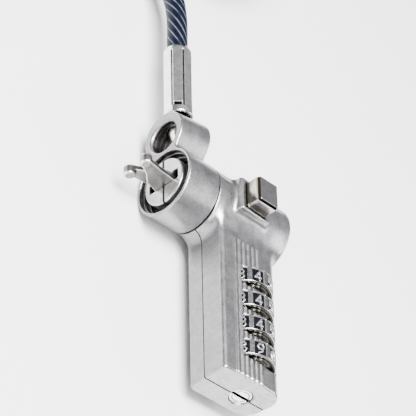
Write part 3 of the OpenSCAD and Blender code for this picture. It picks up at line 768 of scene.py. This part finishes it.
def dialPiece(name, centre, firstFigure):
    # a ring whose outer radius is a height map of angle and place along the axis; the columns
    # go out along one side, over the map, in along the other side and back through the bore
    p = dial
    step = 2 if rough else 1
    around, across = p["around"] // step, p["across"] // step
    angle = np.linspace(0, 360, around, endpoint=False)[:, None]
    half = p["width"] / 2
    along = np.linspace(-half, half, across)[None]
    pitch = 360 / p["panels"]
    number = np.round((angle - p["firstPanel"]) / pitch)
    offset = angle - p["firstPanel"] - number * pitch
    arc = np.radians(offset) * p["radius"]
    halfArc = math.radians(p["panelHalf"]) * p["radius"]
    panel = np.maximum(np.abs(arc) - halfArc, np.abs(along) - p["panelReach"])
    inPanel = 1 - smoothStep(-0.07, 0.07, panel)
    raised = np.zeros((around, across))
    for k in range(p["panels"]):
        rows = (number[:, 0] % p["panels"]) == k
        figure = (firstFigure - k) % 10
        tall, wide = p["figureTall"], p["figureWide"]
        strokes = [[((a - 0.5) * wide, (b - 0.5) * tall) for a, b in line]
                   for line in figures[figure]]
        u = np.broadcast_to(-arc[rows], (rows.sum(), across))
        v = np.broadcast_to(-along, (rows.sum(), across))
        raised[rows] = 1 - smoothStep(-0.05, 0.05, strokeDistance(u, v, strokes) - p["stroke"])
    fromEnd = half - np.abs(along)
    rounding = p["edge"] - np.sqrt(np.maximum(p["edge"] ** 2
                                              - np.maximum(p["edge"] - fromEnd, 0) ** 2, 0))
    top = p["radius"] - rounding - inPanel * p["panelDepth"] + inPanel * raised * p["figureRise"]
    ink = np.clip(inPanel * 1.3 - 0.2, 0, 1) * (1 - raised)
    sideX = np.array([-half + 0.02, -half, -half + p["rimStep"], -half + p["rimStep"],
                      -half, -half])
    sideR = np.array([p["bore"] + 0.02, p["bore"] + 0.3, p["bore"] + 0.35, p["radius"] - 1.0,
                      p["radius"] - 0.9, p["radius"] - p["edge"] - 0.05])
    ones = np.ones((around, 1))
    boreX = np.array([half - 0.3, 0, -half + 0.3])
    r = np.hstack([ones * sideR, top, ones * sideR[::-1], ones * np.full(3, p["bore"])])
    x = np.hstack([ones * sideX, ones * along, ones * -sideX[::-1], ones * boreX])
    def overAll(onMap, elsewhere):
        # a trait on the map, with one value on the sides and in the bore
        side, bore = [np.full((around, n), float(elsewhere)) for n in (len(sideR), len(boreX))]
        return np.hstack([side, onMap, side, bore])
    a = np.radians(angle)
    points = np.stack([centre[0] + x, centre[1] - r * np.sin(a), centre[2] + r * np.cos(a)], -1)
    quads = gridQuads(*r.shape, wrapRows=True, wrapColumns=True)[:, ::-1]
    # the trait flank is 1 on the sides and in the bore, for painted shade there
    return addPiece(name, points.reshape(-1, 3), quads,
                    traits={"ink": overAll(ink, 0), "raised": overAll(inPanel * raised, 0),
                            "flank": overAll(0 * ink, 1)})

dialPieces = []
for k, firstFigure in enumerate(dial["figuresAtFirst"]):
    dialPieces.append(dialPiece(f"dial{k + 1}", middleOf(f"dial_{k + 1}"), firstFigure))
print("dials made")

for piece, body, nodes, slot in (
        (shellFront, "head", ["shell_front"], "satin_nickel"),
        (shellBack, "head", ["shell_back"], "satin_nickel"),
        (collarPiece, "collar", ["collar"], "satin_nickel"),
        (barPieces[0], "bar_a", ["bar_a"], "satin_steel"),
        (barPieces[1], "bar_b", ["bar_b"], "satin_steel"),
        (buttonPiece, "button", ["button"], "bright_nickel"),
        (ferrulePiece, "cable", ["ferrule"], "bright_nickel"),
        (swivelPiece, "cable", ["swivel_pin"], "bright_nickel"),
        (screwPiece, "reset_screw", ["reset_screw"], "bright_nickel"),
        *[(piece, f"dial_{k + 1}", [f"dial_{k + 1}"], "dial_black")
          for k, piece in enumerate(dialPieces)]):
    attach(piece, body)
    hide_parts(*nodes)


# finishes

class Wire:
    # an output socket; sums and products of it add Math nodes
    def __init__(self, sheet, socket):
        self.sheet = sheet
        self.socket = socket

    def maths(self, operation, a, b=0.0):
        return self.sheet.add("ShaderNodeMath", {"operation": operation}, {0: a, 1: b})

    def __add__(self, other): return self.maths("ADD", self, other)
    def __sub__(self, other): return self.maths("SUBTRACT", self, other)
    def __rsub__(self, other): return self.maths("SUBTRACT", other, self)
    def __mul__(self, other): return self.maths("MULTIPLY", self, other)
    def __truediv__(self, other): return self.maths("DIVIDE", self, other)
    def __rtruediv__(self, other): return self.maths("DIVIDE", other, self)
    def __neg__(self): return self * -1
    def __abs__(self): return self.maths("ABSOLUTE", self)
    __radd__ = __add__
    __rmul__ = __mul__

    def sine(self): return self.maths("SINE", self)
    def most(self, other): return self.maths("MAXIMUM", self, other)

    def between(self, low, high):
        # 0 up to low, 1 from high on, and a smooth rise between
        return self.sheet.add("ShaderNodeMapRange", {"interpolation_type": "SMOOTHSTEP"},
                              {"Value": self, "From Min": low, "From Max": high})

class Sheet:
    # a material with one Principled shader
    def __init__(self, name):
        self.material = bpy.data.materials.new(name)
        self.material.use_nodes = True
        self.tree = self.material.node_tree
        self.surface = self.tree.nodes["Principled BSDF"]

    def add(self, kind, settings=None, inputs=None, out=0):
        node = self.tree.nodes.new(kind)
        for key, value in (settings or {}).items():
            setattr(node, key, value)
        for key, value in (inputs or {}).items():
            self.join(node.inputs[key], value)
        return Wire(self, node.outputs[out])

    def join(self, socket, value):
        if isinstance(value, Wire):
            self.tree.links.new(value.socket, socket)
        else:
            socket.default_value = value

    def set(self, **sockets):
        for key, value in sockets.items():
            words = "".join(" " + c if c.isupper() else c for c in key).replace("I O R", "IOR")
            self.join(self.surface.inputs[words[:1].upper() + words[1:]], value)

    def spot(self):
        return self.add("ShaderNodeTexCoord", out="Object")

    def parts(self, vector):
        return [self.add("ShaderNodeSeparateXYZ", {}, {0: vector}, out=k) for k in range(3)]

    def trait(self, name):
        return self.add("ShaderNodeAttribute", {"attribute_name": name}, out="Fac")

    def noise(self, size, detail=2.0, rough=0.5, where=None):
        # size is that of one patch, in mm
        return self.add("ShaderNodeTexNoise", {},
                        {"Vector": where or self.spot(), "Scale": 1 / (size * mm),
                         "Detail": detail, "Roughness": rough}, out="Fac")

    def mix(self, factor, a, b):
        # colours a and b by a factor
        return self.add("ShaderNodeMix", {"data_type": "RGBA"}, {0: factor, 6: a, 7: b}, out=2)

    def bump(self, height, depth):
        # depth in mm for a height from 0 to 1
        return self.add("ShaderNodeBump", {}, {"Height": height, "Distance": depth * mm})

def tint(r, g, b):
    return (r, g, b, 1.0)

satin = {
    "light": tint(0.55, 0.545, 0.56), "dark": tint(0.31, 0.303, 0.313),
    "burnished": tint(0.70, 0.70, 0.71), "grime": tint(0.10, 0.088, 0.078),
    # line, hollow and ring are colours of painted shade: in the groove of the parting line and the
    # seam, and in holes
    "line": tint(0.03, 0.028, 0.026),
    "hollow": tint(0.055, 0.049, 0.045), "hollowFrom": 0.25, "hollowTo": 1.3,
    "ring": tint(0.22, 0.205, 0.195), "ringPitch": 1.5,
    "roughness": 0.32, "grain": 0.42, "grainDepth": 0.045, "patch": 2.6, "lineHalf": 0.13,
    "facingShadeStrength": 0.58, "endShare": 0.4, "sideShare": 0.8,
    "seamFrom": 10.2, "seamTo": 10.88,
}

def satinNickel(name, p, parting=False):
    # colour: two greys by a slow patchy noise and a fine grain, burnished on convex edges, with
    # painted shade in corners, painted shade on faces turned down, to the handle's front side or to
    # its end, painted shade near black along the parting line and the seam with the collar, and
    # painted shade in holes, dark brown with paler rings as a sine of the place along Y; roughness:
    # patches and grain, less where burnished; bump: the grain and a finer one
    m = Sheet(name)
    patch = m.noise(p["patch"], 3, 0.6)
    grain = m.noise(p["grain"], 2, 0.6)
    fine = m.noise(p["grain"] * 0.45, 1, 0.5)
    shade = patch.between(0.3, 0.7) * 0.45 + grain.between(0.28, 0.72) * 0.55
    colour = m.mix(shade, p["dark"], p["light"])
    bend = m.trait("bend")
    worn = bend.between(0.22, 1.1) * (0.4 + 0.35 * patch.between(0.35, 0.6))
    # painted shade: darker in concave corners, where the bend is below zero
    cornerShadeMask = (-bend).between(0.12, 0.8)
    colour = m.mix(worn, colour, p["burnished"])
    colour = m.mix(cornerShadeMask * 0.6, colour, p["grime"])
    x, y, z = m.parts(m.spot())
    facing = m.parts(m.add("ShaderNodeTexCoord", out="Normal"))
    # painted shade: darker towards near black on faces turned down, to the handle's front side or
    # to its end
    facingShade = (facing[0] * p["endShare"] - facing[1] * p["sideShare"] - facing[2]).between(0, 1)
    if parting:
        facingShade = facingShade * y.between(2 * mm, 8 * mm)
    colour = m.mix(facingShade * p["facingShadeStrength"], colour, tint(0.02, 0.02, 0.02))
    # painted shade in holes: dark brown below the uncut form, with paler rings as a sine of the
    # place along Y
    ring = (y * (2 * math.pi / (p["ringPitch"] * mm)) + grain).sine().between(0.5, 1)
    deep = m.trait("deep").between(p["hollowFrom"], p["hollowTo"])
    hollow = m.mix(ring * 0.7, p["hollow"], p["ring"])
    colour = m.mix(deep * (0.95 - 0.5 * worn), colour, hollow)
    rough = p["roughness"] + (grain - 0.5) * 0.16 + (patch - 0.5) * 0.14 - worn * 0.14
    if parting:
        # painted shade: near black in the groove of the parting line and in the seam with the
        # collar
        height = abs(z)
        half = (2 - y.between(0.8 * mm, 1.6 * mm)) * (p["lineHalf"] * mm)
        line = 1 - height.between(half, half * 2)
        seam = y.between(p["seamFrom"] * mm, (p["seamFrom"] + 0.2) * mm)
        line = line.most(seam * (1 - y.between(p["seamTo"] * mm, (p["seamTo"] + 0.15) * mm)))
        colour = m.mix(line, colour, p["line"])
        rough = rough + line * 0.3
    m.set(baseColor=colour, metallic=1.0, roughness=rough,
          normal=m.bump(grain * 0.65 + fine * 0.35, p["grainDepth"]))
    return m.material

bright = {
    "light": tint(0.93, 0.925, 0.92), "dark": tint(0.76, 0.75, 0.73),
    "roughness": 0.15, "scratch": 0.5,
}
buttonBright = {"light": tint(0.48, 0.48, 0.50), "dark": tint(0.40, 0.395, 0.40),
                "roughness": 0.14, "scratch": 0.5}
buttonBand = {"from": buttonHigh[2] - 0.85, "to": buttonHigh[2] - 0.2,
              "band": tint(0.012, 0.011, 0.01), "foot": 12.6, "shade": tint(0.14, 0.125, 0.085)}

def brightNickel(name, p, worn=True, rimmed=None):
    # colour: two greys by a slow noise, with painted shade in corners and recesses and, on a rimmed
    # piece, dark in a band of heights below its top and painted shade at its foot and on its front;
    # roughness: fine scratches drawn out along X; bump: scratches and a fine noise
    m = Sheet(name)
    stretched = m.add("ShaderNodeMapping", {}, {"Vector": m.spot(), "Scale": (0.25, 1, 1)})
    scratch = m.noise(p["scratch"], 3, 0.7, stretched)
    patch = m.noise(1.8, 2, 0.5)
    colour = m.mix(patch.between(0.3, 0.7), p["dark"], p["light"])
    if worn:
        # painted shade in concave corners
        colour = m.mix((-m.trait("bend")).between(0.15, 0.8) * 0.85, colour,
                       tint(0.07, 0.066, 0.06))
    # painted shade in recesses, near black below the uncut form
    colour = m.mix(m.trait("deep").between(0.08, 0.35), colour, tint(0.02, 0.018, 0.015))
    if rimmed:
        height = m.parts(m.spot())[2] / mm
        low, high = rimmed["from"], rimmed["to"]
        band = height.between(low - 0.08, low + 0.08) * (1 - height.between(high - 0.08, high))
        colour = m.mix(band, colour, rimmed["band"])
        # painted shade at the foot and on faces turned to the front
        below = 1 - height.between(rimmed["foot"] - 0.3, rimmed["foot"] + 0.9)
        side = (0 - m.parts(m.add("ShaderNodeTexCoord", out="Normal"))[1]).between(0.3, 1)
        colour = m.mix(below.most(side) * 0.8, colour, rimmed["shade"])
    m.set(baseColor=colour, metallic=1.0,
          roughness=p["roughness"] + scratch.between(0.45, 0.75) * 0.12,
          normal=m.bump(scratch * 0.5 + m.noise(0.3, 1) * 0.5, 0.004))
    return m.material

def satinSteel(name):
    # tumbled stainless: two dark greys by a slow noise, with painted shade in corners and bright on
    # edges; roughness and bump: small soft pits as a noise
    m = Sheet(name)
    pits = m.noise(0.5, 3, 0.6)
    wide = m.noise(1.6, 2, 0.5)
    colour = m.mix(wide.between(0.3, 0.7), tint(0.15, 0.143, 0.132), tint(0.21, 0.202, 0.19))
    # painted shade in concave corners
    colour = m.mix((-m.trait("bend")).between(0.1, 0.7) * 0.8, colour, tint(0.05, 0.046, 0.04))
    colour = m.mix(m.trait("bend").between(0.2, 0.9) * 0.8, colour, tint(0.88, 0.88, 0.88))
    m.set(baseColor=colour, metallic=1.0, roughness=0.36 + (pits - 0.5) * 0.2,
          normal=m.bump(pits, 0.012))
    return m.material

def plainMetal(name, light, dark, roughness):
    # machined metal: a turning tool's rings as a noise stretched along Y and Z, in colour,
    # roughness and bump
    m = Sheet(name)
    turned = m.add("ShaderNodeMapping", {}, {"Vector": m.spot(), "Scale": (6, 1, 1)})
    lines = m.noise(0.7, 2, 0.5, turned)
    m.set(baseColor=m.mix(lines.between(0.3, 0.7), dark, light), metallic=1.0,
          roughness=roughness + (lines - 0.5) * 0.15, normal=m.bump(lines, 0.006))
    return m.material

def dialFinish(name):
    # nickel by a noise, paler on the figures and with painted shade on the flanks; the mask "ink"
    # fills the panels with black enamel; roughness and bump: the same noise
    m = Sheet(name)
    ink = m.trait("ink")
    patch = m.noise(0.8, 3, 0.6)
    nickel = m.mix(patch.between(0.3, 0.7), tint(0.34, 0.33, 0.315), tint(0.56, 0.555, 0.55))
    nickel = m.mix(m.trait("raised") * 0.7, nickel, tint(0.82, 0.82, 0.83))
    enamel = m.mix(patch.between(0.35, 0.7), tint(0.0015, 0.002, 0.003), tint(0.005, 0.006, 0.010))
    # painted shade on the dial's side faces and bore
    nickel = m.mix(m.trait("flank") * 0.9, nickel, tint(0.10, 0.094, 0.075))
    m.set(baseColor=m.mix(ink, nickel, enamel), metallic=1 - ink, specularIORLevel=0.05,
          roughness=0.2 + ink * 0.16 + (patch - 0.5) * 0.14, normal=m.bump(patch, 0.006))
    return m.material

vinyl = {"lay": 30.0, "strands": 9, "dark": tint(0.002, 0.0025, 0.006),
         "mid": tint(0.006, 0.008, 0.018), "light": tint(0.17, 0.20, 0.28)}

def cableVinyl(name, p):
    # clear grey-blue vinyl over a laid cable: strands are a sine of the way round less the way
    # along over the lay; finer wires are a faster sine of their sum; a slow noise varies both
    m = Sheet(name)
    uv = m.parts(m.add("ShaderNodeUVMap", {"uv_map": "along"}))
    turn = 2 * math.pi
    strand = (uv[1] * (turn * p["strands"]) - uv[0] * (turn * p["strands"] / p["lay"])).sine()
    wire = (uv[1] * (turn * p["strands"] * 2) + uv[0] * (turn * p["strands"] * 3 / p["lay"])).sine()
    wander = m.noise(3.5, 2, 0.5)
    crest = strand.between(0.88, 1.0) * (0.75 + 0.25 * wire.between(-0.2, 0.8))
    crest = crest * wander.between(0.25, 0.6)
    colour = m.mix(strand.between(-0.9, 0.3), p["dark"], p["mid"])
    colour = m.mix(crest, colour, p["light"])
    m.set(baseColor=colour, metallic=0.0, roughness=0.42 + (wander - 0.5) * 0.1,
          coatWeight=0.02 + 0.06 * wander, coatRoughness=0.12, specularIORLevel=0.08,
          normal=m.bump(strand * 0.5 + wire * 0.12, 0.03))
    return m.material

def wovenStrap(name):
    # black hook and loop strap: a plain weave as the product of a sine of the strap's length and
    # one of its width, with a fuzz of fine noise, in colour and bump; roughness: the fuzz
    m = Sheet(name)
    uv = m.parts(m.add("ShaderNodeUVMap", {"uv_map": "along"}))
    weave = (uv[0] * (2 * math.pi / 0.7)).sine() * (uv[1] * (2 * math.pi / 0.7)).sine()
    fuzz = m.noise(0.25, 3, 0.7)
    colour = m.mix(weave.between(-0.8, 0.9) * 0.6 + fuzz * 0.4, tint(0.003, 0.003, 0.0035),
                   tint(0.02, 0.02, 0.022))
    m.set(baseColor=colour, roughness=0.78 + (fuzz - 0.5) * 0.2,
          sheenWeight=0.05, specularIORLevel=0.15, normal=m.bump(weave * 0.6 + fuzz * 0.4, 0.08))
    return m.material

shellFinish = satinNickel("satinNickelShell", satin, parting=True)
collarFinish = satinNickel("satinNickelCollar", satin)
brightFinish = brightNickel("brightNickel", bright)
buttonFinish = brightNickel("brightNickelButton", buttonBright, rimmed=buttonBand)
plainBright = brightNickel("brightNickelTurned", bright, worn=False)
steelFinish = plainMetal("plainSteel", tint(0.42, 0.42, 0.43), tint(0.28, 0.28, 0.29), 0.3)
brassFinish = plainMetal("machinedBrass", tint(0.72, 0.52, 0.25), tint(0.56, 0.39, 0.17), 0.28)
dialLook = dialFinish("dialEnamelAndNickel")
barLook = satinSteel("tumbledSteel")

def dress(piece, material):
    slots = piece.material_slots
    if len(slots) == 0:
        piece.data.materials.append(material)
    for slot in slots:
        slot.material = material

for piece, material in (
        (shellFront, shellFinish), (shellBack, shellFinish), (collarPiece, collarFinish),
        (ferrulePiece, brightFinish), (buttonPiece, buttonFinish), (screwPiece, brightFinish),
        (swivelPiece, plainBright), (sleeve, plainBright),
        (cablePiece, cableVinyl("greyBlueVinyl", vinyl)),
        (strapOnHank, wovenStrap("blackStrap")),
        *[(piece, barLook) for piece in barPieces], *[(piece, dialLook) for piece in dialPieces]):
    dress(piece, material)

brassNodes = ["driver", "sleeve_1", "sleeve_2", "sleeve_3", "sleeve_4"]
steelNodes = ["snap_ring", "pivot_pin", "drive_pin", "driver_spring", "button_spring", "spindle",
              "spindle_spring", "detent_balls", "detent_springs", "case_pins"]
for names, material in ((brassNodes, brassFinish), (steelNodes, steelFinish)):
    for name in names:
        dress(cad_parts[name], material)
print("finishes made")


# floor and light

def addFloor(level):
    # a flat square of one face
    corners = np.array([(-1, -1), (1, -1), (1, 1), (-1, 1)], float) * 3000
    points = np.column_stack([corners, np.full(4, level)])
    floor = addPiece("floor", points, np.array([[0, 1, 2, 3]]), smooth=False)
    m = Sheet("paleFloor")
    patch = m.noise(40, 3, 0.5)
    m.set(baseColor=m.mix(patch, tint(0.93, 0.93, 0.93), tint(0.96, 0.96, 0.96)), roughness=0.7)
    dress(floor, m.material)

addFloor(-9.54)

lamps = [
    # spot and target in mm, width and height in mm, power in watts, colour
    {"name": "keyLamp", "spot": (90, -240, 640), "at": (0, 10, 0), "size": (420, 420),
     "power": 24, "colour": (1.0, 1.0, 1.0)},
    {"name": "frontLamp", "spot": (520, -120, 420), "at": (20, 10, 0), "size": (300, 500),
     "power": 3.5, "colour": (1.0, 0.99, 0.97)},
    {"name": "backLamp", "spot": (100, 520, 380), "at": (10, 20, 0), "size": (500, 260),
     "power": 2.5, "colour": (0.97, 0.98, 1.0)},
]

def addLamp(p):
    data = bpy.data.lights.new(p["name"], "AREA")
    data.shape = "RECTANGLE"
    data.size, data.size_y = [v * mm for v in p["size"]]
    data.energy = p["power"]
    data.color = p["colour"]
    lamp = bpy.data.objects.new(p["name"], data)
    bpy.context.scene.collection.objects.link(lamp)
    away = (Vector(p["spot"]) - Vector(p["at"])) * mm
    lamp.location = Vector(p["spot"]) * mm
    lamp.rotation_euler = away.to_track_quat("Z", "Y").to_euler()

for lamp in lamps:
    addLamp(lamp)

def addRoom(bright, middle, dim):
    # soft room: dim below, brighter towards the top
    world = bpy.data.worlds.new("softRoom")
    bpy.context.scene.world = world
    world.use_nodes = True
    tree = world.node_tree
    way = tree.nodes.new("ShaderNodeTexCoord")
    parts = tree.nodes.new("ShaderNodeSeparateXYZ")
    ramp = tree.nodes.new("ShaderNodeValToRGB")
    tree.links.new(way.outputs["Generated"], parts.inputs[0])
    tree.links.new(parts.outputs[2], ramp.inputs[0])
    tree.links.new(ramp.outputs[0], tree.nodes["Background"].inputs[0])
    stops = ramp.color_ramp.elements
    stops[0].position, stops[0].color = 0.0, dim
    stops[1].position, stops[1].color = 1.0, bright
    stops.new(0.35).color = middle
    tree.nodes["Background"].inputs[1].default_value = 1.0

addRoom(tint(0.78, 0.78, 0.79), tint(0.42, 0.42, 0.43), tint(0.2, 0.195, 0.19))
